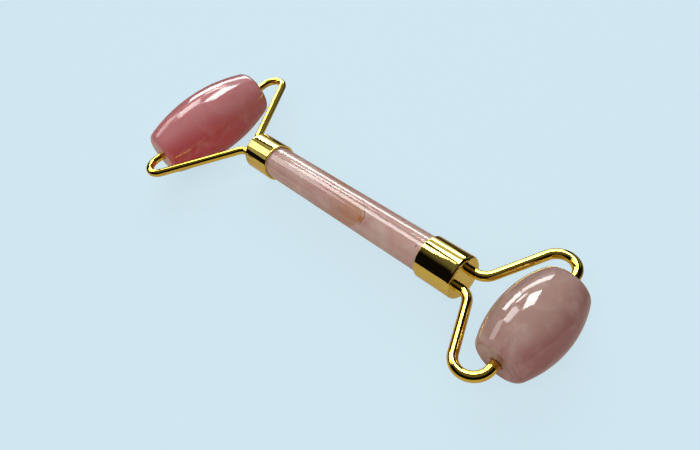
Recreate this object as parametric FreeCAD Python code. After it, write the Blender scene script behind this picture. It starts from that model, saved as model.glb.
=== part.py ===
"""Double ended face roller: a stone rod handle between two gilt ferrules, and
two wire forks that each carry a barrel shaped stone roller.

The handle axis is X, the rollers turn about Y, and Z points up out of the plane
of the forks. The origin is the middle of the part's overall length, on the
handle axis. All sizes are in millimetres.
"""
import FreeCAD, Part
import math
import os

# Handle rod and the metal cups on its ends.
ROD_RADIUS = 5.0
ROD_EXPOSED = 62.4
ROD_END_CHAMFER = 0.3
FERRULE_RADIUS = 5.7
FERRULE_LENGTH = 11.1
FERRULE_WALL = 0.55
FERRULE_END_WALL = 1.6
FERRULE_EDGE = 0.8
FERRULE_RIM_EDGE = 0.15
ROD_GAP_TO_END_WALL = 0.9
CEMENT_RECESS = 0.3

# Fork wire, shared by both ends.
WIRE_RADIUS = 1.25
WIRE_OFFSET = 2.7
WIRE_TAIL = 0.5
WIRE_TIP_CHAMFER = 0.3
WIRE_TIP_INSERTION = 7.0
FIRST_BEND_RADIUS = 4.0

# Each fork: reach from the ferrule's end face to the roller axis, half width to the
# hook's outermost centreline, hook bend radius, arm angle from the Y axis.
LARGE_FORK = dict(reach=29.4, half_width=28.2, hook_radius=4.2, arm_angle=math.radians(34.8))
SMALL_FORK = dict(reach=19.0, half_width=19.0, hook_radius=4.4, arm_angle=math.radians(27.0))

# Stone rollers: half length, middle radius, flat end radius, corner size, and how far
# each has slid along its wires, because a roller has a little end float.
LARGE_ROLLER = dict(half=20.6, radius=11.1, end=4.4, corner=2.8, slide=-0.9)
SMALL_ROLLER = dict(half=12.5, radius=8.8, end=3.6, corner=2.2, slide=-0.3)

# Through hole of a roller and the nylon sleeve set in each end of it.
HOLE_RADIUS = 1.60
HOLE_EDGE = 0.15
BUSH_BORE_RADIUS = 1.31
BUSH_LENGTH = 7.0
BUSH_RECESS = 0.5

# Two sizes closer than this are the same edge, and how far a cutter runs past a cut.
SAME_SIZE = 1e-4
CUTTER_MARGIN = 1.0

# Stations along X, counted so that the overall length is centred on the origin.
HANDLE_HALF = ROD_EXPOSED / 2 + FERRULE_LENGTH
LARGE_OVERHANG = LARGE_FORK["reach"] + LARGE_ROLLER["radius"]
SMALL_OVERHANG = SMALL_FORK["reach"] + SMALL_ROLLER["radius"]
HANDLE_MIDDLE = (LARGE_OVERHANG - SMALL_OVERHANG) / 2

X_AXIS = FreeCAD.Vector(1, 0, 0)
Y_AXIS = FreeCAD.Vector(0, 1, 0)


def rod_along_x(x_start, x_end, radius):
    """Solid cylinder on the X axis between two stations."""
    base = FreeCAD.Vector(min(x_start, x_end), 0, 0)
    return Part.makeCylinder(radius, abs(x_end - x_start), base, X_AXIS)


def circles_of(shape, radius):
    """Circular edges of one radius."""
    circles = [edge for edge in shape.Edges if isinstance(edge.Curve, Part.Circle)]
    return [edge for edge in circles if abs(edge.Curve.Radius - radius) < SAME_SIZE]


def circles_at(shape, x_station, radius):
    """Circular edges of one radius whose centres lie at one station along X."""
    circles = circles_of(shape, radius)
    return [edge for edge in circles if abs(edge.Curve.Center.x - x_station) < SAME_SIZE]


def ferrule_end(side):
    """X of a ferrule's flat end face; side is -1 at the large roller, +1 at the small one."""
    return HANDLE_MIDDLE + side * HANDLE_HALF


def wire_tails(side, radius):
    """The two short wire ends that pass through a ferrule's end wall."""
    outside = ferrule_end(side)
    inside = outside - side * (FERRULE_END_WALL + WIRE_TAIL)
    tails = []
    for y_offset in (-WIRE_OFFSET, WIRE_OFFSET):
        tail = rod_along_x(outside, inside, radius)
        tail.translate(FreeCAD.Vector(0, y_offset, 0))
        tails.append(tail)
    return tails


def make_rod():
    """Stone rod, plain from end to end, with its ends chamfered inside the ferrules."""
    hidden = FERRULE_LENGTH - FERRULE_END_WALL - ROD_GAP_TO_END_WALL
    half = ROD_EXPOSED / 2 + hidden
    rod = rod_along_x(HANDLE_MIDDLE - half, HANDLE_MIDDLE + half, ROD_RADIUS)
    edges = circles_at(rod, HANDLE_MIDDLE - half, ROD_RADIUS)
    edges += circles_at(rod, HANDLE_MIDDLE + half, ROD_RADIUS)
    return rod.makeChamfer(ROD_END_CHAMFER, edges)


def make_ferrule(side):
    """Cup with a thick end wall, rounded at the end face, holed for two wires."""
    end = ferrule_end(side)
    rim = end - side * FERRULE_LENGTH
    cup = rod_along_x(rim, end, FERRULE_RADIUS)
    cup = cup.makeFillet(FERRULE_EDGE, circles_at(cup, end, FERRULE_RADIUS))
    floor = end - side * FERRULE_END_WALL
    inner_radius = FERRULE_RADIUS - FERRULE_WALL
    cup = cup.cut(rod_along_x(rim, floor, inner_radius))
    cup = cup.makeFillet(FERRULE_RIM_EDGE, circles_at(cup, rim, FERRULE_RADIUS))
    for tail in wire_tails(side, WIRE_RADIUS):
        cup = cup.cut(tail)
    return cup


def make_cement(side, rod):
    """Glue film round the buried rod end, with the plug behind it that covers the wire tails."""
    end = ferrule_end(side)
    rim = end - side * FERRULE_LENGTH
    floor = end - side * FERRULE_END_WALL
    start = rim + side * CEMENT_RECESS
    filling = rod_along_x(start, floor, FERRULE_RADIUS - FERRULE_WALL)
    filling = filling.cut(rod)
    for tail in wire_tails(side, WIRE_RADIUS):
        filling = filling.cut(tail)
    return filling


def arc_edge(centre, radius, angle_start, angle_end):
    """Arc in the XY plane through three points of a circle, angles in radians."""
    points = []
    for share in (0.0, 0.5, 1.0):
        angle = angle_start + share * (angle_end - angle_start)
        x = centre[0] + radius * math.cos(angle)
        y = centre[1] + radius * math.sin(angle)
        points.append(FreeCAD.Vector(x, y, 0))
    return Part.Arc(points[0], points[1], points[2]).toShape()


def make_arm(side, hand, reach, half_width, hook_radius, arm_angle, roller_half):
    """One fork wire: tail, bend, straight arm, hook and the tip that enters the roller.

    It is drawn with its ferrule face at the origin, reaching along +X and +Y, then
    mirrored to its own side (along X) and hand (along Y).
    """
    hook_x = reach - hook_radius
    hook_y = half_width - hook_radius
    joint_x = hook_x - hook_radius * math.cos(arm_angle)
    joint_y = hook_y + hook_radius * math.sin(arm_angle)
    run_x = math.sin(arm_angle)
    run_y = math.cos(arm_angle)
    run = (joint_y - WIRE_OFFSET) / run_y
    corner_x = joint_x - run * run_x
    turn = math.pi / 2 - arm_angle
    trim = FIRST_BEND_RADIUS * math.tan(turn / 2)
    bend_centre = (corner_x - trim, WIRE_OFFSET + FIRST_BEND_RADIUS)
    tail_x = -FERRULE_END_WALL - WIRE_TAIL
    tip_y = roller_half - WIRE_TIP_INSERTION

    tail = FreeCAD.Vector(tail_x, WIRE_OFFSET, 0)
    bend_start = FreeCAD.Vector(corner_x - trim, WIRE_OFFSET, 0)
    bend_end = FreeCAD.Vector(corner_x + trim * run_x, WIRE_OFFSET + trim * run_y, 0)
    joint = FreeCAD.Vector(joint_x, joint_y, 0)
    hook_end = FreeCAD.Vector(reach, hook_y, 0)
    tip = FreeCAD.Vector(reach, tip_y, 0)
    edges = [
        Part.makeLine(tail, bend_start),
        arc_edge(bend_centre, FIRST_BEND_RADIUS, -math.pi / 2, -arm_angle),
        Part.makeLine(bend_end, joint),
        arc_edge((hook_x, hook_y), hook_radius, math.pi - arm_angle, 0.0),
        Part.makeLine(hook_end, tip),
    ]
    path = Part.Wire(edges)
    profile = Part.Wire([Part.makeCircle(WIRE_RADIUS, tail, X_AXIS)])
    arm = path.makePipeShell([profile], True, True)
    cutter = Part.makeCylinder(WIRE_RADIUS + CUTTER_MARGIN, WIRE_TIP_CHAMFER, tip, Y_AXIS)
    point = Part.makeCone(
        WIRE_RADIUS - WIRE_TIP_CHAMFER,
        WIRE_RADIUS,
        WIRE_TIP_CHAMFER,
        tip,
        Y_AXIS,
    )
    arm = arm.cut(cutter).fuse(point).removeSplitter()

    if side < 0:
        arm = arm.mirror(FreeCAD.Vector(0, 0, 0), X_AXIS)
    if hand < 0:
        arm = arm.mirror(FreeCAD.Vector(0, 0, 0), Y_AXIS)
    arm.translate(FreeCAD.Vector(ferrule_end(side), 0, 0))
    return arm


def make_stone(x_centre, size):
    """Barrel with a circular arc side, rounded corners and flat ends, drilled through."""
    half = size["half"]
    shoulder = size["end"] + size["corner"]
    crown = FreeCAD.Vector(size["radius"], 0, 0)
    right = FreeCAD.Vector(shoulder, half, 0)
    left = FreeCAD.Vector(shoulder, -half, 0)
    side_arc = Part.Arc(left, crown, right).toShape()
    edges = [
        Part.makeLine(FreeCAD.Vector(0, -half, 0), left),
        side_arc,
        Part.makeLine(right, FreeCAD.Vector(0, half, 0)),
        Part.makeLine(FreeCAD.Vector(0, half, 0), FreeCAD.Vector(0, -half, 0)),
    ]
    face = Part.Face(Part.Wire(edges))
    barrel = face.revolve(FreeCAD.Vector(0, 0, 0), Y_AXIS, 360)
    barrel = barrel.makeFillet(size["corner"], circles_of(barrel, shoulder))
    reach = half + CUTTER_MARGIN
    base = FreeCAD.Vector(0, -reach, 0)
    barrel = barrel.cut(Part.makeCylinder(HOLE_RADIUS, 2 * reach, base, Y_AXIS))
    barrel = barrel.makeChamfer(HOLE_EDGE, circles_of(barrel, HOLE_RADIUS))
    barrel.translate(FreeCAD.Vector(x_centre, size["slide"], 0))
    return barrel


def make_bush(x_centre, size, hand):
    """Plain sleeve pressed into one end of a roller's hole."""
    outer_end = hand * (size["half"] - BUSH_RECESS)
    inner_end = outer_end - hand * BUSH_LENGTH
    base = FreeCAD.Vector(x_centre, size["slide"] + min(outer_end, inner_end), 0)
    sleeve = Part.makeCylinder(HOLE_RADIUS, BUSH_LENGTH, base, Y_AXIS)
    return sleeve.cut(Part.makeCylinder(BUSH_BORE_RADIUS, BUSH_LENGTH, base, Y_AXIS))


def build():
    """All pieces of the roller by node name."""
    rod = make_rod()
    pieces = {"handle_rod": rod}
    ends = {
        "large": (-1, LARGE_FORK, LARGE_ROLLER),
        "small": (1, SMALL_FORK, SMALL_ROLLER),
    }
    for name, (side, fork, roller) in ends.items():
        axis_x = ferrule_end(side) + side * fork["reach"]
        pieces[name + "_end_ferrule"] = make_ferrule(side)
        pieces[name + "_end_cement"] = make_cement(side, rod)
        pieces[name + "_roller_stone"] = make_stone(axis_x, roller)
        for hand_name, hand in (("left", -1), ("right", 1)):
            arm = make_arm(side, hand, roller_half=roller["half"], **fork)
            pieces[name + "_fork_" + hand_name + "_arm"] = arm
            pieces[name + "_roller_" + hand_name + "_bush"] = make_bush(axis_x, roller, hand)
    return pieces


os.makedirs("parts", exist_ok=True)
for node, shape in build().items():
    if shape.ShapeType != "Solid" and len(shape.Solids) == 1:
        shape = shape.Solids[0]
    shape.exportStep("parts/" + node + ".step")
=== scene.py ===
"""Looks of the double ended stone face roller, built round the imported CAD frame.

All lengths are in metres in the row frame: X along the handle from the large roller
to the small one, Y along the roller axes, Z up.
"""
import math

import bmesh
import bpy
from mathutils import Matrix, Vector, noise


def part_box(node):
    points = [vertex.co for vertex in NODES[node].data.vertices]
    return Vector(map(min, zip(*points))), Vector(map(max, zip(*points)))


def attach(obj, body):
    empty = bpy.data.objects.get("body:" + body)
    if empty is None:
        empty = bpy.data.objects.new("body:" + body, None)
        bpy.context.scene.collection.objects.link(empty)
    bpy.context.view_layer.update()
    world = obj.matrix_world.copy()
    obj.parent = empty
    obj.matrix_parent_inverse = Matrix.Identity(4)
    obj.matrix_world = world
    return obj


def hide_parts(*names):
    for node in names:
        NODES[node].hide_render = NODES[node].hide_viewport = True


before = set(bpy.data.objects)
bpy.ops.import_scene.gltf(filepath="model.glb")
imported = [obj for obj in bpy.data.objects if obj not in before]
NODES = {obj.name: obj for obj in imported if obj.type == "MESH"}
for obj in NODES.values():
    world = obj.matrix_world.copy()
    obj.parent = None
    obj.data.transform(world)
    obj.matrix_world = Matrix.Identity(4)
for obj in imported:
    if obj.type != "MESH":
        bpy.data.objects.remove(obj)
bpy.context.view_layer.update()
MM = 0.001

# Fork wire, in the order the wire runs from a ferrule to a roller.
WIRE_OFFSET = 2.7 * MM
FIRST_BEND_RADIUS = 4.0 * MM
WIRE_TAIL_INSIDE = 2.1 * MM
WIRE_TIP_INSERTION = 7.0 * MM
WIRE_TIP_CHAMFER = 0.3 * MM
LARGE_FORK = dict(half_width=28.2 * MM, hook_radius=4.2 * MM, arm_angle=math.radians(34.8))
SMALL_FORK = dict(half_width=19.0 * MM, hook_radius=4.4 * MM, arm_angle=math.radians(27.0))

# Ferrule cup.
FERRULE_WALL = 0.55 * MM
FERRULE_END_WALL = 1.6 * MM
FERRULE_EDGE = 0.8 * MM
FERRULE_RIM_EDGE = 0.15 * MM
WIRE_HOLE_GAP = 0.05 * MM

# Stone rollers: radius of the flat end, size of the corner, and the drilled hole.
LARGE_ENDS = dict(end=4.4 * MM, corner=2.8 * MM)
SMALL_ENDS = dict(end=3.6 * MM, corner=2.2 * MM)
HOLE_RADIUS = 1.6 * MM
HOLE_EDGE = 0.15 * MM
BUSH_BORE_RADIUS = 1.31 * MM
BUSH_EDGE = 0.08 * MM
ROD_END_CHAMFER = 0.3 * MM

# Quartz colours: the pale clouds, the body of the stone and its deep colour. The deep colour lies in
# random zones on the handle and is painted shade on the rollers' lower side.
HANDLE_QUARTZ = dict(pale=(0.74, 0.57, 0.50), body=(0.66, 0.43, 0.37), deep=(0.62, 0.36, 0.33))
LARGE_QUARTZ = dict(pale=(0.67, 0.32, 0.32), body=(0.64, 0.24, 0.25), deep=(0.53, 0.045, 0.065))
SMALL_QUARTZ = dict(pale=(0.58, 0.42, 0.37), body=(0.51, 0.32, 0.275), deep=(0.36, 0.125, 0.125))
MILK = (0.80, 0.70, 0.66)

# Painted shade: both rollers turn darker and deeper red towards their lower side that faces the small
# end, over these stretches, with an edge that wanders.
SHADED_SIDE = Vector((0.75, -0.15, -0.65)).normalized()
SHADE_EDGE_DRIFT = 8 * MM
LARGE_SHADE_SPAN = (-1 * MM, 11 * MM)
SMALL_SHADE_SPAN = (-5 * MM, 5 * MM)

# Gold plate colours, clean and dulled by tarnish.
FERRULE_GOLD = dict(clean=(0.93, 0.74, 0.17), dull=(0.88, 0.64, 0.11))
WIRE_GOLD = dict(clean=(0.95, 0.71, 0.11), dull=(0.90, 0.61, 0.06))
FERRULE_RIPPLE = 0.010 * MM
WIRE_RIPPLE = 0.016 * MM

# Hidden materials, each mottled between two colours.
NYLON_SHADES = (0.70, 0.60, 0.50), (0.82, 0.75, 0.66)
EPOXY_SHADES = (0.42, 0.28, 0.14), (0.60, 0.46, 0.28)

# Flaws of the handle stone: an old crack's plane and middle, its stain, and some nicks.
CRACK_CENTRE = Vector((16.3, -0.7, 4.9)) * MM
CRACK_NORMAL = Vector((0.42, 0.56, -0.72)).normalized()
CRACK_RUST = (0.30, 0.13, 0.04)
RUST_SPOT = Vector((17.0, -3.3, 3.7)) * MM
SPOT_RUST = (0.56, 0.20, 0.02)
ROD_NICKS = (
    Vector((2.3, 0.1, 5.0)) * MM,
    Vector((6.3, -0.7, 4.9)) * MM,
    Vector((35.8, -1.9, 4.6)) * MM,
)
NICK_STRETCH = (1.0, 0.35, 1.0)
NICK_DARK = (0.12, 0.06, 0.05)

# Brown haze beside the crack, and the point of the rod that it keeps clear of.
HAZE_BROWN = (0.55, 0.27, 0.14)
HAZE_CLEAR = Vector((12, 6, 6)) * MM

# Hand grinding leaves the stones very slightly uneven, always inwards.
GRIND_DEPTH = 0.045 * MM
GRIND_PITCH = 7.0 * MM
ROD_GRIND_SEED, LARGE_GRIND_SEED, SMALL_GRIND_SEED = 5.0, 11.0, 23.0

# Edges sharper than this aren't shaded smooth.
SHARP_ANGLE = math.radians(40)

X_AXIS = Vector((1, 0, 0))
Y_AXIS = Vector((0, 1, 0))
Z_AXIS = Vector((0, 0, 1))


# ---------------------------------------------------------------- mesh building

def mesh_object(name, points, faces):
    """New object from points and faces, smooth except at its sharp edges."""
    mesh = bpy.data.meshes.new(name)
    mesh.from_pydata([tuple(p) for p in points], [], faces)
    mesh.validate()
    mesh.shade_smooth()
    mesh.set_sharp_from_angle(angle=SHARP_ANGLE)
    piece = bpy.data.objects.new(name, mesh)
    bpy.context.scene.collection.objects.link(piece)
    return piece


def face_outwards(piece):
    """Turns every face of a closed piece to face out."""
    build = bmesh.new()
    build.from_mesh(piece.data)
    bmesh.ops.recalc_face_normals(build, faces=build.faces)
    build.to_mesh(piece.data)
    build.free()


def spokes(across, upright, segments):
    """Unit vectors evenly round a circle, given two of its directions at right angles."""
    turns = [2 * math.pi * step / segments for step in range(segments)]
    return [upright * math.cos(turn) + across * math.sin(turn) for turn in turns]


def ring_edges(ring, segments):
    """Pairs of neighbouring points of a ring, by their numbers."""
    start = ring * segments
    return [(start + step, start + (step + 1) % segments) for step in range(segments)]


def ring_faces(low, high, segments):
    """Faces that join two rings of points."""
    pairs = zip(ring_edges(low, segments), ring_edges(high, segments))
    return [(*below, *reversed(above)) for below, above in pairs]


def lathe(name, profile, axis, centre, segments=160, looped=False):
    """Solid of revolution from a profile of (along, radius).

    A looped profile closes on itself, any other is closed with a flat end on the axis.
    """
    around = spokes(Z_AXIS.cross(axis), Z_AXIS, segments)
    points = []
    for along, radius in profile:
        points += [centre + axis * along + spoke * radius for spoke in around]
    faces = []
    count = len(profile)
    for low in range(count if looped else count - 1):
        faces += ring_faces(low, (low + 1) % count, segments)
    if not looped:
        for ring, (along, _) in ((0, profile[0]), (count - 1, profile[-1])):
            pole = len(points)
            points.append(centre + axis * along)
            for edge in ring_edges(ring, segments):
                faces.append((*(reversed(edge) if ring == 0 else edge), pole))
    piece = mesh_object(name, points, faces)
    face_outwards(piece)
    return piece


def arc(centre, radius, start, end, steps):
    """Points (along, radius) of an arc, angles in degrees from the along axis."""
    found = []
    for step in range(steps + 1):
        angle = math.radians(start + (end - start) * step / steps)
        found.append((centre[0] + radius * math.cos(angle), centre[1] + radius * math.sin(angle)))
    return found


def straight(start, end, steps):
    """Points of a straight run without its first point."""
    shares = [step / steps for step in range(1, steps + 1)]
    return [tuple(a + (b - a) * share for a, b in zip(start, end)) for share in shares]


def grind(piece, axis, centre, seed):
    """Presses a stone's surface in by a few hundredths of a millimetre, as hand grinding does."""
    for vertex in piece.data.vertices:
        offset = vertex.co - centre
        spoke = offset - axis * offset.dot(axis)
        if spoke.length < 2 * HOLE_RADIUS:
            continue
        wave = noise.noise(vertex.co / GRIND_PITCH + Vector((seed, 0, 0)))
        vertex.co -= spoke.normalized() * GRIND_DEPTH * (0.5 + 0.5 * wave)


def tube(name, path, radius, segments=40):
    """Round bar along a path in the XY plane, closed with a small chamfer at its last point."""
    points = []
    last = len(path) - 1
    for index, middle in enumerate(path):
        ahead = (path[min(index + 1, last)] - path[max(index - 1, 0)]).normalized()
        size = radius - WIRE_TIP_CHAMFER if index == last else radius
        points += [middle + spoke * size for spoke in spokes(Z_AXIS, Z_AXIS.cross(ahead), segments)]
    faces = []
    for low in range(last):
        faces += ring_faces(low, low + 1, segments)
    faces.append(tuple(range(segments)))
    faces.append(tuple(reversed(range(last * segments, len(points)))))
    piece = mesh_object(name, points, faces)
    face_outwards(piece)
    return piece


def finish_piece(piece, body, nodes, material):
    """Gives a piece its material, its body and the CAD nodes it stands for."""
    piece.data.materials.clear()
    piece.data.materials.append(material)
    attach(piece, body)
    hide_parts(*nodes)


# ---------------------------------------------------------------- sizes from the frame

def centre_of(node):
    low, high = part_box(node)
    return (low + high) / 2


def half_of(node):
    low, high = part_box(node)
    return (high - low) / 2


WIRE_RADIUS = half_of("small_fork_left_arm").z
ROD_CENTRE = centre_of("handle_rod")
LARGE_CENTRE = Vector((centre_of("large_roller_left_bush").x, centre_of("large_roller_stone").y, 0))
SMALL_CENTRE = Vector((centre_of("small_roller_left_bush").x, centre_of("small_roller_stone").y, 0))
FERRULE_RADIUS = half_of("small_end_ferrule").z


# ---------------------------------------------------------------- material building

# The Mix node's colour sockets, which share their names with its other sockets.
MIX_FIRST, MIX_SECOND, MIX_RESULT = 6, 7, 2


class Recipe:
    """A node material under construction, with short calls for the nodes it needs."""

    def __init__(self, name):
        self.material = bpy.data.materials.new(name)
        self.material.use_nodes = True
        self.tree = self.material.node_tree
        self.tree.nodes.clear()
        self.output = self.tree.nodes.new("ShaderNodeOutputMaterial")
        self.shader = self.tree.nodes.new("ShaderNodeBsdfPrincipled")
        self.link(self.shader.outputs[0], self.output.inputs["Surface"])
        self.place = self.tree.nodes.new("ShaderNodeTexCoord").outputs["Object"]

    def link(self, source, target):
        self.tree.links.new(source, target)

    def set(self, **values):
        """Constant sockets of the main shader, spaces written as underscores."""
        for name, value in values.items():
            self.shader.inputs[name.replace("_", " ")].default_value = value

    def moved(self, scale, shift=(0, 0, 0)):
        """Object coordinates, stretched and shifted."""
        node = self.tree.nodes.new("ShaderNodeMapping")
        node.inputs["Scale"].default_value = scale
        node.inputs["Location"].default_value = shift
        self.link(self.place, node.inputs["Vector"])
        return node.outputs[0]

    def noise(self, pitch, detail=3.0, roughness=0.5, distortion=0.0, vector=None):
        """Cloudy noise from 0 to 1 whose features are about one pitch across."""
        node = self.tree.nodes.new("ShaderNodeTexNoise")
        node.inputs["Scale"].default_value = 1 / pitch
        node.inputs["Detail"].default_value = detail
        node.inputs["Roughness"].default_value = roughness
        node.inputs["Distortion"].default_value = distortion
        self.link(vector or self.place, node.inputs["Vector"])
        return node.outputs[0]

    def math(self, operation, *values):
        """Result of a Math node."""
        node = self.tree.nodes.new("ShaderNodeMath")
        node.operation = operation
        for value, socket in zip(values, node.inputs):
            self.put(value, socket)
        return node.outputs[0]

    def times(self, first, second):
        """Product of two numbers."""
        return self.math("MULTIPLY", first, second)

    def ramp(self, value, low, high):
        """0 below low, 1 above high, with a soft change between them."""
        node = self.tree.nodes.new("ShaderNodeMapRange")
        node.interpolation_type = "SMOOTHSTEP"
        node.inputs["From Min"].default_value = low
        node.inputs["From Max"].default_value = high
        self.link(value, node.inputs["Value"])
        return node.outputs["Result"]

    def fade(self, value, low, high):
        """1 below low, 0 above high, with a soft change between them."""
        return self.math("SUBTRACT", 1.0, self.ramp(value, low, high))

    def ridge(self, value, width):
        """1 along the middle line of a noise, 0 a width away from it: a thin wandering vein."""
        return self.fade(self.math("ABSOLUTE", self.math("SUBTRACT", value, 0.5)), 0.0, width)

    def mix(self, share, first, second):
        """Blend of two colours."""
        node = self.tree.nodes.new("ShaderNodeMix")
        node.data_type = "RGBA"
        self.put(share, node.inputs["Factor"])
        self.put(first, node.inputs[MIX_FIRST])
        self.put(second, node.inputs[MIX_SECOND])
        return node.outputs[MIX_RESULT]

    def put(self, value, socket):
        """Gives a socket a number, a colour or another node's output."""
        if isinstance(value, (int, float)):
            socket.default_value = value
        elif isinstance(value, tuple):
            socket.default_value = (*value, 1.0)
        else:
            self.link(value, socket)

    def distance(self, point, stretch=(1, 1, 1)):
        """Distance from a point of the object, in stretched metres."""
        node = self.tree.nodes.new("ShaderNodeVectorMath")
        node.operation = "DISTANCE"
        scaled = tuple(p * s for p, s in zip(point, stretch))
        self.link(self.moved(stretch), node.inputs[0])
        node.inputs[1].default_value = scaled
        return node.outputs["Value"]

    def along(self, direction):
        """Object coordinate along a direction."""
        node = self.tree.nodes.new("ShaderNodeVectorMath")
        node.operation = "DOT_PRODUCT"
        self.link(self.place, node.inputs[0])
        node.inputs[1].default_value = direction
        return node.outputs["Value"]

    def bump(self, height, depth):
        """Relief of the surface, in metres for a height of 1."""
        node = self.tree.nodes.new("ShaderNodeBump")
        node.inputs["Strength"].default_value = 1.0
        node.inputs["Distance"].default_value = depth
        self.link(height, node.inputs["Height"])
        self.link(node.outputs[0], self.shader.inputs["Normal"])


def quartz(name, seed, pale, body, deep, gloss=0.05, cloudiness=0.6, milkiness=0.13, shade_span=None,
           marks=()):
    """Polished rose quartz: soft colour zones, faint milky veils, a few hairlines and fine pits.

    If a stretch is given, the stone is painted from body to deep along the direction of its lower side
    over that stretch: painted shade. Without one, deep lies in soft random zones. Each mark is a
    function that returns how far it covers the stone and its colour.
    """
    recipe = Recipe(name)
    shift = (seed * 0.013, seed * 0.007, seed * 0.019)
    placed = recipe.moved((1, 1, 1), shift)
    zones = recipe.noise(22 * MM, detail=2, roughness=0.45, distortion=0.5, vector=placed)
    clouds = recipe.noise(8 * MM, detail=3, roughness=0.55, distortion=0.7, vector=placed)
    # Painted shade: darker, deeper red towards the stone's lower side.
    if shade_span:
        drift = recipe.math("MULTIPLY_ADD", zones, SHADE_EDGE_DRIFT, recipe.along(SHADED_SIDE))
        colour = recipe.mix(recipe.ramp(drift, *shade_span), body, deep)
    else:
        colour = recipe.mix(recipe.ramp(zones, 0.36, 0.62), deep, body)
    cloud = recipe.times(recipe.ramp(clouds, 0.42, 0.72), cloudiness)
    colour = recipe.mix(cloud, colour, pale)

    veils = recipe.noise(13 * MM, detail=4, roughness=0.55, distortion=1.4, vector=placed)
    veil = recipe.times(recipe.ridge(veils, 0.09), recipe.ramp(clouds, 0.45, 0.65))
    colour = recipe.mix(recipe.times(veil, milkiness), colour, MILK)

    hairs = recipe.noise(21 * MM, detail=5, roughness=0.6, distortion=1.8, vector=placed)
    hair = recipe.times(recipe.ridge(hairs, 0.005), recipe.ramp(zones, 0.5, 0.58))
    colour = recipe.mix(recipe.times(hair, 0.3), colour, tuple(0.5 * c for c in body))
    for mark in marks:
        share, tint = mark(recipe)
        colour = recipe.mix(share, colour, tint)
    recipe.link(colour, recipe.shader.inputs["Base Color"])

    smears = recipe.noise(2.2 * MM, detail=3, roughness=0.6, vector=placed)
    recipe.link(
        recipe.math("MULTIPLY_ADD", recipe.ramp(smears, 0.4, 0.8), 0.05, gloss),
        recipe.shader.inputs["Roughness"],
    )
    pits = recipe.ramp(recipe.noise(0.3 * MM, detail=1, vector=placed), 0.22, 0.3)
    waves = recipe.noise(1.1 * MM, detail=2, roughness=0.55, vector=placed)
    recipe.bump(recipe.math("MULTIPLY_ADD", waves, 0.35, pits), 0.008 * MM)
    recipe.set(
        IOR=1.55,
        Subsurface_Weight=0.6,
        Subsurface_Radius=(1.0, 0.45, 0.40),
        Subsurface_Scale=3.0 * MM,
        Coat_Weight=0.3,
        Coat_Roughness=0.6 * gloss,
        Coat_IOR=1.55,
    )
    return recipe.material


def shade_span_of(centre, span_limits):
    """Stretch of painted shade along the direction of the rollers' lower side, counted from a stone's
    centre and shifted by the mean drift.
    """
    middle = centre.dot(SHADED_SIDE) + SHADE_EDGE_DRIFT / 2
    return tuple(middle + limit for limit in span_limits)


def healed_crack(recipe):
    """Thin rusty line where an old fracture plane meets the surface near the rod's middle."""
    off_plane = recipe.math("SUBTRACT", recipe.along(CRACK_NORMAL), CRACK_NORMAL.dot(CRACK_CENTRE))
    wander = recipe.math("MULTIPLY_ADD", recipe.noise(1.6 * MM, detail=2), 0.5 * MM, -0.25 * MM)
    away = recipe.math("ABSOLUTE", recipe.math("ADD", off_plane, wander))
    line = recipe.fade(away, 0.04 * MM, 0.17 * MM)
    extent = recipe.fade(recipe.distance(CRACK_CENTRE), 3.6 * MM, 4.8 * MM)
    return recipe.times(recipe.times(line, extent), 0.85), CRACK_RUST


def rust_spot(recipe):
    """Small iron stain at the lower end of the crack."""
    ragged = recipe.math("MULTIPLY_ADD", recipe.noise(0.9 * MM, detail=3), 1.3 * MM, -0.65 * MM)
    reach = recipe.math("ADD", recipe.distance(RUST_SPOT), ragged)
    spot = recipe.fade(reach, 0.25 * MM, 1.05 * MM)
    return recipe.times(spot, 0.9), SPOT_RUST


def rust_cloud(recipe):
    """Brown haze that spreads from the crack towards the large roller, and ends at the crack."""
    behind = recipe.math("SUBTRACT", CRACK_NORMAL.dot(CRACK_CENTRE), recipe.along(CRACK_NORMAL))
    near = recipe.ramp(behind, 0.0, 0.4 * MM)
    far = recipe.fade(behind, 1.0 * MM, 7.0 * MM)
    low = recipe.ramp(recipe.distance(HAZE_CLEAR), 4.5 * MM, 9.5 * MM)
    share = recipe.times(recipe.times(near, far), low)
    return recipe.times(share, 0.75), HAZE_BROWN


def nicks(recipe):
    """Short dark scratches and one dark speck on the rod."""
    found = None
    for place in ROD_NICKS:
        gap = recipe.distance(place, NICK_STRETCH)
        spot = recipe.fade(gap, 0.10 * MM, 0.30 * MM)
        found = spot if found is None else recipe.math("MAXIMUM", found, spot)
    return recipe.times(found, 0.75), NICK_DARK


def gold(name, seed, clean, dull, ripple):
    """Mirror polished gold plate with faint ripple, soft tarnish clouds and fine wipe marks."""
    recipe = Recipe(name)
    placed = recipe.moved((1, 1, 1), (seed * 0.011, 0, seed * 0.017))
    tarnish = recipe.noise(6 * MM, detail=4, roughness=0.6, vector=placed)
    colour = recipe.mix(recipe.ramp(tarnish, 0.45, 0.8), clean, dull)
    recipe.link(colour, recipe.shader.inputs["Base Color"])
    wipes = recipe.noise(0.5 * MM, detail=4, roughness=0.7, vector=recipe.moved((0.12, 1, 1)))
    recipe.link(
        recipe.math("MULTIPLY_ADD", recipe.ramp(wipes, 0.45, 0.8), 0.07, 0.045),
        recipe.shader.inputs["Roughness"],
    )
    waves = recipe.noise(1.4 * MM, detail=2, roughness=0.5, vector=placed)
    grains = recipe.noise(0.16 * MM, detail=2, vector=placed)
    recipe.bump(recipe.math("MULTIPLY_ADD", grains, 0.06, waves), ripple)
    recipe.set(Metallic=1.0, IOR=1.5, Specular_IOR_Level=0.5)
    return recipe.material


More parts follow.
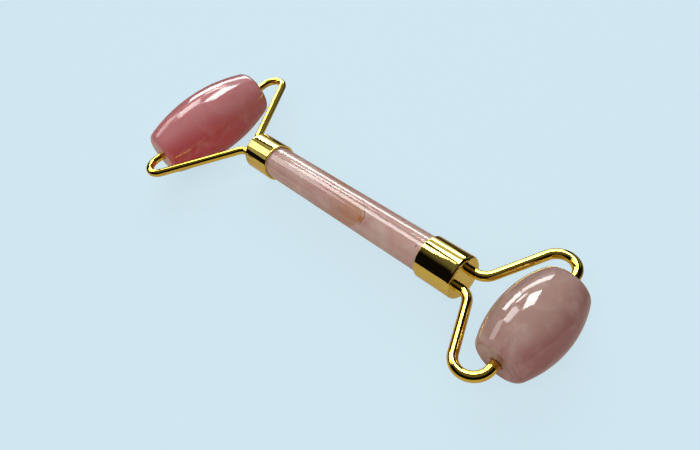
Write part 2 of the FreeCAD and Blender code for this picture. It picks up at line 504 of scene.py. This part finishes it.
def nylon():
    """Natural nylon of the bushes: off white, faintly mottled, a little see-through."""
    recipe = Recipe("natural_nylon")
    mottle = recipe.noise(0.8 * MM, detail=3)
    colour = recipe.mix(mottle, *NYLON_SHADES)
    recipe.link(colour, recipe.shader.inputs["Base Color"])
    recipe.link(recipe.math("MULTIPLY_ADD", mottle, 0.15, 0.35), recipe.shader.inputs["Roughness"])
    recipe.bump(mottle, 0.01 * MM)
    recipe.set(Subsurface_Weight=0.3, Subsurface_Radius=(1.0, 0.8, 0.6), Subsurface_Scale=0.6 * MM)
    return recipe.material


def epoxy():
    """Cured glue in the ferrules: amber, uneven."""
    recipe = Recipe("cured_epoxy")
    mottle = recipe.noise(0.9 * MM, detail=4, roughness=0.6)
    colour = recipe.mix(mottle, *EPOXY_SHADES)
    recipe.link(colour, recipe.shader.inputs["Base Color"])
    recipe.link(recipe.math("MULTIPLY_ADD", mottle, 0.2, 0.3), recipe.shader.inputs["Roughness"])
    recipe.bump(mottle, 0.02 * MM)
    return recipe.material


# ---------------------------------------------------------------- stones

def stone_profile(half, radius, end, corner):
    """Closed outline of a drilled barrel: arc side, round corners, flat ends, straight hole."""
    shoulder = end + corner
    sag = radius - shoulder
    side_radius = (half * half + sag * sag) / (2 * sag)
    side_centre = radius - side_radius
    corner_along = half - corner
    reach = side_radius - corner
    corner_across = side_centre + math.sqrt(reach * reach - corner_along * corner_along)
    lean = math.degrees(math.atan2(corner_across - side_centre, corner_along))
    outline = arc((0, side_centre), side_radius, 180 - lean, lean, 96)
    outline += arc((corner_along, corner_across), corner, lean, 0, 14)[1:]
    outline[-1] = (half, corner_across)
    mouth = HOLE_RADIUS + HOLE_EDGE
    outline += straight(outline[-1], (half, mouth), 8)
    outline += straight((half, mouth), (half - HOLE_EDGE, HOLE_RADIUS), 2)
    outline += straight((half - HOLE_EDGE, HOLE_RADIUS), (-half + HOLE_EDGE, HOLE_RADIUS), 24)
    outline += straight((-half + HOLE_EDGE, HOLE_RADIUS), (-half, mouth), 2)
    outline += straight((-half, mouth), (-half, corner_across), 8)
    outline += arc((-corner_along, corner_across), corner, 180, 180 - lean, 14)[1:-1]
    return outline


def make_stone(body, centre, ends, grind_seed, material):
    """Drilled barrel shaped roller."""
    node = body + "_stone"
    half = half_of(node)
    profile = stone_profile(half.y, max(half.x, half.z), **ends)
    piece = lathe(body + "_polished", profile, Y_AXIS, centre, segments=200, looped=True)
    grind(piece, Y_AXIS, centre, grind_seed)
    finish_piece(piece, body, [node], material)


def make_rod(material):
    """Plain round rod with a small chamfer at each end."""
    half = half_of("handle_rod")
    radius = half.z
    chamfer = ROD_END_CHAMFER
    profile = [(-half.x, radius - chamfer), (-half.x + chamfer, radius)]
    profile += straight(profile[-1], (half.x - chamfer, radius), 180)
    profile.append((half.x, radius - chamfer))
    piece = lathe("handle_rod_polished", profile, X_AXIS, ROD_CENTRE)
    grind(piece, X_AXIS, ROD_CENTRE, ROD_GRIND_SEED)
    finish_piece(piece, "handle", ["handle_rod"], material)


# ---------------------------------------------------------------- metal

def cup_profile(length):
    """Ferrule outline from the middle of its end face, over the outside, to the middle of its floor."""
    radius = FERRULE_RADIUS
    edge = FERRULE_EDGE
    rim = FERRULE_RIM_EDGE
    inner = radius - FERRULE_WALL
    outline = [(length, radius * share) for share in (0.2, 0.4, 0.6, 0.75)]
    outline += arc((length - edge, radius - edge), edge, 0, 90, 16)
    outline += straight((length - edge, radius), (rim, radius), 30)
    outline += arc((rim, radius - rim), rim, 90, 180, 8)[1:]
    outline += straight((0, radius - rim), (0, inner), 2)
    floor = length - FERRULE_END_WALL
    outline += straight((0, inner), (floor, inner), 20)
    outline += [(floor, inner * share) for share in (0.7, 0.4, 0.2)]
    return outline


def make_ferrule(end_name, side, material):
    """Cup, open towards the rod, with two holes in its end wall for the fork wires."""
    node = end_name + "_end_ferrule"
    low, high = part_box(node)
    length = high.x - low.x
    rim_x = low.x if side > 0 else high.x
    axis = X_AXIS * side
    start = Vector((rim_x, 0, 0))
    piece = lathe(node + "_cup", cup_profile(length), axis, start, segments=192)
    for hand in (-1, 1):
        middle = start + axis * length + Y_AXIS * hand * WIRE_OFFSET
        reach = 2 * FERRULE_END_WALL
        outline = [(along, WIRE_RADIUS + WIRE_HOLE_GAP) for along in (-reach, reach)]
        cut(piece, lathe("cutter", outline, axis, middle, segments=64))
    finish_piece(piece, "handle", [node], material)


def cut(piece, cutter):
    """Takes the cutter's solid out of the piece and deletes the cutter."""
    modifier = piece.modifiers.new("cut", "BOOLEAN")
    modifier.operation = "DIFFERENCE"
    modifier.solver = "EXACT"
    modifier.object = cutter
    graph = bpy.context.evaluated_depsgraph_get()
    made = bpy.data.meshes.new_from_object(piece.evaluated_get(graph))
    piece.modifiers.clear()
    piece.data = made
    piece.data.set_sharp_from_angle(angle=SHARP_ANGLE)
    bpy.data.objects.remove(cutter)


def wire_path(reach, half_width, hook_radius, arm_angle, roller_half):
    """Plan of one arm with its ferrule face at the origin, out along +X and +Y."""
    hook_x = reach - hook_radius
    hook_y = half_width - hook_radius
    joint_x = hook_x - hook_radius * math.cos(arm_angle)
    joint_y = hook_y + hook_radius * math.sin(arm_angle)
    corner_x = joint_x - (joint_y - WIRE_OFFSET) * math.tan(arm_angle)
    trim = FIRST_BEND_RADIUS * math.tan((math.pi / 2 - arm_angle) / 2)
    bend = (corner_x - trim, WIRE_OFFSET + FIRST_BEND_RADIUS)
    angle = math.degrees(arm_angle)
    tip = (reach, roller_half - WIRE_TIP_INSERTION)

    plan = [(-WIRE_TAIL_INSIDE, WIRE_OFFSET)]
    plan += straight(plan[-1], (corner_x - trim, WIRE_OFFSET), 6)
    plan += arc(bend, FIRST_BEND_RADIUS, -90, -angle, 24)[1:]
    plan += straight(plan[-1], (joint_x, joint_y), 24)
    plan += arc((hook_x, hook_y), hook_radius, 180 - angle, 0, 48)[1:]
    plan += straight(plan[-1], (tip[0], tip[1] + WIRE_TIP_CHAMFER), 12)
    plan.append(tip)
    return plan


def make_arms(end_name, side, fork, roller_centre, material):
    """The two wires of one fork, mirror images of each other."""
    low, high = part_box(end_name + "_end_ferrule")
    face_x = high.x if side > 0 else low.x
    reach = abs(roller_centre.x - face_x)
    roller_half = half_of(end_name + "_roller_stone").y
    plan = wire_path(reach, roller_half=roller_half, **fork)
    for hand_name, hand in (("left", -1), ("right", 1)):
        node = end_name + "_fork_" + hand_name + "_arm"
        path = [Vector((face_x + side * x, hand * y, 0)) for x, y in plan]
        piece = tube(node + "_wire", path, WIRE_RADIUS)
        finish_piece(piece, "handle", [node], material)


def make_bushes(material):
    """Thin sleeves just inside the mouths of the drilled holes."""
    for end_name in ("large", "small"):
        for hand_name in ("left", "right"):
            node = end_name + "_roller_" + hand_name + "_bush"
            half = half_of(node).y
            edge = BUSH_EDGE
            profile = [
                (-half + edge, HOLE_RADIUS),
                (half - edge, HOLE_RADIUS),
                (half, HOLE_RADIUS - edge),
                (half, BUSH_BORE_RADIUS + edge),
                (half - edge, BUSH_BORE_RADIUS),
                (-half + edge, BUSH_BORE_RADIUS),
                (-half, BUSH_BORE_RADIUS + edge),
                (-half, HOLE_RADIUS - edge),
            ]
            piece = lathe(node + "_sleeve", profile, Y_AXIS, centre_of(node), segments=96, looped=True)
            finish_piece(piece, end_name + "_roller", [node], material)


# ---------------------------------------------------------------- studio

# Pale blue ground as seen directly, and the warm table that the part reflects.
GROUND = (0.63, 0.79, 0.87)
GROUND_BASE_SHARE = 0.16
GROUND_GLOW_SHARE = 0.88
TABLE_BASE = (0.30, 0.26, 0.22)
TABLE_GLOW = (0.26, 0.22, 0.19)

# Towards the window the table darkens between these distances from the handle.
TABLE_EDGE = 14 * MM
TABLE_DARK = 45 * MM
DARK_GLOW = (0.03, 0.025, 0.02)

# Window panes by bearing (from +Y towards +X) and height of their middles in degrees,
# width and height in metres at one metre, and brightness.
PANES = (
    (-79.0, 53.0, 0.270, 0.350, 6.0),
    (-58.0, 38.5, 0.220, 0.090, 9.0),
    (-34.0, 56.0, 0.300, 0.400, 12.0),
    (-68.0, 23.0, 0.320, 0.245, 9.0),
    (-40.0, 22.0, 0.560, 0.200, 6.5),
    (-103.0, 38.0, 0.420, 0.320, 2.5),
    (-42.0, 24.0, 0.590, 0.730, 0.5),
    (3.0, 14.0, 0.460, 0.750, 0.16),
    (-74.0, 38.5, 0.260, 0.110, 0.32),
    (-122.0, 24.0, 0.200, 0.200, 0.34),
)
DARK_ROOM = (0.004, 0.0035, 0.003)
CEILING = (0.12, 0.11, 0.10)
CEILING_STARTS, CEILING_FULL = 0.72, 0.88
PANE_COLOUR = (1.0, 0.99, 0.96)

# Soft lights that light every surface evenly: place, size and brightness.
SOFT_LIGHTS = (
    (Vector((0.5, -0.6, 1.2)), 1.6, 1.9),
    (Vector((-0.6, 0.7, 0.8)), 1.2, 2.0),
)
WHITE = (1.0, 1.0, 1.0)

# The floor reaches this far each way.
FLOOR_REACH = 4.0

# The camera's aim from the rod's middle, its bearing and height from there, and its roll.
CAMERA_AIM = Vector((6.8, -4.6, 0)) * MM
CAMERA_BEARING, CAMERA_HEIGHT, CAMERA_ROLL = 118.7, 45.4, -19.2
CAMERA_DISTANCE = 157 * MM
CAMERA_LENS = 30.18
CAMERA_CLIP = 5 * MM


def direction(bearing, height):
    """Unit vector by its bearing, from +Y towards +X, and its height, both in degrees."""
    bearing, height = math.radians(bearing), math.radians(height)
    return Vector((
        math.sin(bearing) * math.cos(height),
        math.cos(bearing) * math.cos(height),
        math.sin(height),
    ))


def make_camera():
    """Looks down on the handle from beyond the small roller's left side."""
    back = direction(CAMERA_BEARING, CAMERA_HEIGHT)
    data = bpy.data.cameras.new("camera")
    data.lens = CAMERA_LENS
    data.clip_start = CAMERA_CLIP
    camera = bpy.data.objects.new("camera", data)
    bpy.context.scene.collection.objects.link(camera)
    place = Matrix.Translation(ROD_CENTRE + CAMERA_AIM + back * CAMERA_DISTANCE)
    facing = (-back).to_track_quat("-Z", "Y").to_matrix().to_4x4()
    camera.matrix_world = place @ facing @ Matrix.Rotation(math.radians(CAMERA_ROLL), 4, "Z")
    bpy.context.scene.camera = camera


def make_floor():
    """Pale ground that both rollers rest on, so it leans by the difference of their radii."""
    large_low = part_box("large_roller_stone")[0].z
    small_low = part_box("small_roller_stone")[0].z
    lean = math.atan2(small_low - large_low, SMALL_CENTRE.x - LARGE_CENTRE.x)
    corners = ((-1, -1, 0), (1, -1, 0), (1, 1, 0), (-1, 1, 0))
    points = [Vector(corner) * FLOOR_REACH for corner in corners]
    floor = mesh_object("floor", points, [(0, 1, 2, 3)])
    floor.location = Vector((LARGE_CENTRE.x, 0, large_low))
    floor.rotation_euler = (0, -lean, 0)
    recipe = Recipe("pale_blue_ground")
    seen = recipe.tree.nodes.new("ShaderNodeLightPath").outputs["Is Camera Ray"]
    far_side = recipe.ramp(recipe.along(Y_AXIS), TABLE_EDGE, TABLE_DARK)
    table_glow = recipe.mix(far_side, TABLE_GLOW, DARK_GLOW)
    table_base = recipe.mix(far_side, TABLE_BASE, DARK_GLOW)
    base = recipe.mix(seen, table_base, tuple(GROUND_BASE_SHARE * c for c in GROUND))
    glow = recipe.mix(seen, table_glow, tuple(GROUND_GLOW_SHARE * c for c in GROUND))
    recipe.link(base, recipe.shader.inputs["Base Color"])
    recipe.link(glow, recipe.shader.inputs["Emission Color"])
    recipe.set(Roughness=0.9, Emission_Strength=1.0, Specular_IOR_Level=0.0)
    floor.data.materials.append(recipe.material)


def area_light(name, place, width, height, radiance, colour, mirrored):
    """Rectangular light that faces the origin, with the brightness of its face given.

    A mirrored light shows only in reflections, any other one only lights the surfaces.
    """
    data = bpy.data.lights.new(name, "AREA")
    data.shape = "RECTANGLE"
    data.size, data.size_y = width, height
    data.energy = radiance * math.pi * width * height
    data.color = colour
    light = bpy.data.objects.new(name, data)
    bpy.context.scene.collection.objects.link(light)
    light.location = place
    light.rotation_euler = (-place).to_track_quat("-Z", "Y").to_euler()
    light.visible_camera = False
    light.visible_glossy = mirrored
    light.visible_diffuse = not mirrored


def make_lights():
    """A paned window behind the far side of the handle, and soft fill from above."""
    for index, (bearing, height, wide, tall, radiance) in enumerate(PANES):
        place = direction(bearing, height)
        area_light("pane_%d" % index, place, wide, tall, radiance, PANE_COLOUR, True)
    for index, (place, size, radiance) in enumerate(SOFT_LIGHTS):
        area_light("soft_%d" % index, place, size, size, radiance, WHITE, False)


def make_world():
    """Dim room for reflections and light; rays that miss everything else see the pale backdrop."""
    world = bpy.data.worlds.new("room")
    bpy.context.scene.world = world
    world.use_nodes = True
    tree = world.node_tree
    tree.nodes.clear()
    make, link = tree.nodes.new, tree.links.new
    output = make("ShaderNodeOutputWorld")
    mixed = make("ShaderNodeMixShader")
    room = make("ShaderNodeBackground")
    backdrop = make("ShaderNodeBackground")
    height = make("ShaderNodeSeparateXYZ")
    link(make("ShaderNodeTexCoord").outputs["Generated"], height.inputs[0])
    ceiling = make("ShaderNodeMapRange")
    ceiling.interpolation_type = "SMOOTHSTEP"
    ceiling.inputs["From Min"].default_value = CEILING_STARTS
    ceiling.inputs["From Max"].default_value = CEILING_FULL
    link(height.outputs["Z"], ceiling.inputs["Value"])
    shade = make("ShaderNodeMix")
    shade.data_type = "RGBA"
    shade.inputs[MIX_FIRST].default_value = (*DARK_ROOM, 1)
    shade.inputs[MIX_SECOND].default_value = (*CEILING, 1)
    link(ceiling.outputs["Result"], shade.inputs["Factor"])
    link(shade.outputs[MIX_RESULT], room.inputs["Color"])
    backdrop.inputs["Color"].default_value = (*GROUND, 1)
    link(make("ShaderNodeLightPath").outputs["Is Camera Ray"], mixed.inputs[0])
    link(room.outputs[0], mixed.inputs[1])
    link(backdrop.outputs[0], mixed.inputs[2])
    link(mixed.outputs[0], output.inputs[0])


# ---------------------------------------------------------------- assembly

def main():
    make_camera()
    handle_stone = quartz(
        "rose_quartz_handle", 1.0, **HANDLE_QUARTZ,
        marks=(rust_cloud, healed_crack, rust_spot, nicks))
    # Both rollers carry painted shade on their lower side.
    large_stone = quartz(
        "rose_quartz_large", 2.0, **LARGE_QUARTZ, gloss=0.12, cloudiness=0.35, milkiness=0.03,
        shade_span=shade_span_of(LARGE_CENTRE, LARGE_SHADE_SPAN))
    small_stone = quartz(
        "rose_quartz_small", 3.0, **SMALL_QUARTZ, cloudiness=0.45,
        shade_span=shade_span_of(SMALL_CENTRE, SMALL_SHADE_SPAN))
    ferrule_gold = gold("gold_plate_ferrule", 1.0, **FERRULE_GOLD, ripple=FERRULE_RIPPLE)
    wire_gold = gold("gold_plate_wire", 2.0, **WIRE_GOLD, ripple=WIRE_RIPPLE)

    make_rod(handle_stone)
    make_stone("large_roller", LARGE_CENTRE, LARGE_ENDS, LARGE_GRIND_SEED, large_stone)
    make_stone("small_roller", SMALL_CENTRE, SMALL_ENDS, SMALL_GRIND_SEED, small_stone)
    ends = ("large", -1, LARGE_FORK, LARGE_CENTRE), ("small", 1, SMALL_FORK, SMALL_CENTRE)
    for end_name, side, fork, centre in ends:
        make_ferrule(end_name, side, ferrule_gold)
        make_arms(end_name, side, fork, centre, wire_gold)
    make_bushes(nylon())
    glue = epoxy()
    for node in ("large_end_cement", "small_end_cement"):
        NODES[node].data.materials.clear()
        NODES[node].data.materials.append(glue)

    make_floor()
    make_lights()
    make_world()
    bpy.context.scene.view_settings.view_transform = "Standard"


main()
